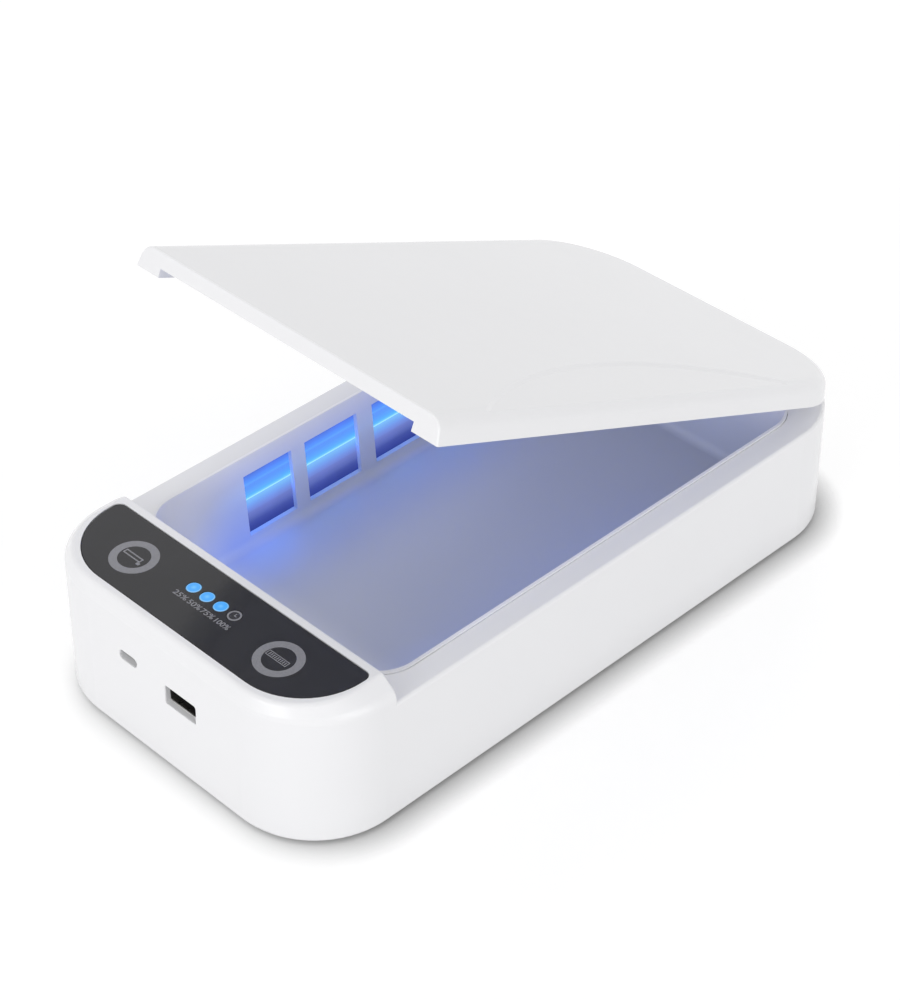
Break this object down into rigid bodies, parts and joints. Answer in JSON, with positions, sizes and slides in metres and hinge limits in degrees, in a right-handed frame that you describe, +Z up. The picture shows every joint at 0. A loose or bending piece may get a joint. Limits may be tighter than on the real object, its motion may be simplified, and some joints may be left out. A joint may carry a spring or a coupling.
{
  "type": "uv sanitizer box for phones",
  "caption": "Desk-top ultraviolet box for phones: a low rounded tray with a hinged lid, windowed lamp pockets, a dark touch panel with level lights and two sockets.",
  "frame": {"origin": "centre of the shell's outline in the plane of the feet that it stands on", "axes": "+Z up, the front block with its panel and sockets faces -Y, the hinge is at +Y, +X to the right seen from the front"},
  "size_m": [0.115, 0.223, 0.1207],
  "materials": {
    "white_abs": "gloss moulded",
    "panel": "gloss, dark printed",
    "light_on": "lit",
    "light_off": "gloss, unlit",
    "circuit_board": "solder mask",
    "lamp_glass": "lit tube",
    "cap_rubber": "matt",
    "bright_aluminium": "bright",
    "socket_metal": "nickel plated",
    "insulator": "moulded",
    "steel": "plain",
    "spring_steel": "plain",
    "foot_rubber": "matt",
    "magnet": "nickel plated"
  },
  "bodies": {
    "base": {"base_housing": "white_abs", "bottom_cover": "white_abs", "chamber_liner": "white_abs", "control_panel": "panel", "level_light_1": "light_on", "level_light_2": "light_on", "level_light_3": "light_on", "level_light_4": "light_off", "touch_board": "circuit_board", "driver_board": "circuit_board", "lamp_transformer": "insulator", "usb_socket_shell": "socket_metal", "usb_socket_tongue": "insulator", "charging_socket_shell": "socket_metal", "charging_socket_tongue": "insulator", "reed_switch": "insulator", "left_touch_spring": "spring_steel", "right_touch_spring": "spring_steel", "left_lamp_tube": "lamp_glass", "right_lamp_tube": "lamp_glass", "left_front_lamp_cap": "cap_rubber", "left_rear_lamp_cap": "cap_rubber", "right_front_lamp_cap": "cap_rubber", "right_rear_lamp_cap": "cap_rubber", "left_reflector": "bright_aluminium", "right_reflector": "bright_aluminium", "left_hinge_pin": "steel", "right_hinge_pin": "steel", "front_left_foot": "foot_rubber", "front_right_foot": "foot_rubber", "rear_left_foot": "foot_rubber", "rear_right_foot": "foot_rubber", "cover_screws": "steel", "touch_board_screws": "steel", "driver_board_screws": "steel"},
    "lid": {"lid_shell": "white_abs", "lid_inner_plate": "white_abs", "lid_magnet": "magnet"}
  },
  "joints": [
    {"name": "lid_hinge", "type": "hinge", "parent": "base", "child": "lid", "pos_m": [0, 0.107, 0.0432], "axis": [-1, 0, 0], "range_deg": [-23.3, 71.7]}
  ]
}
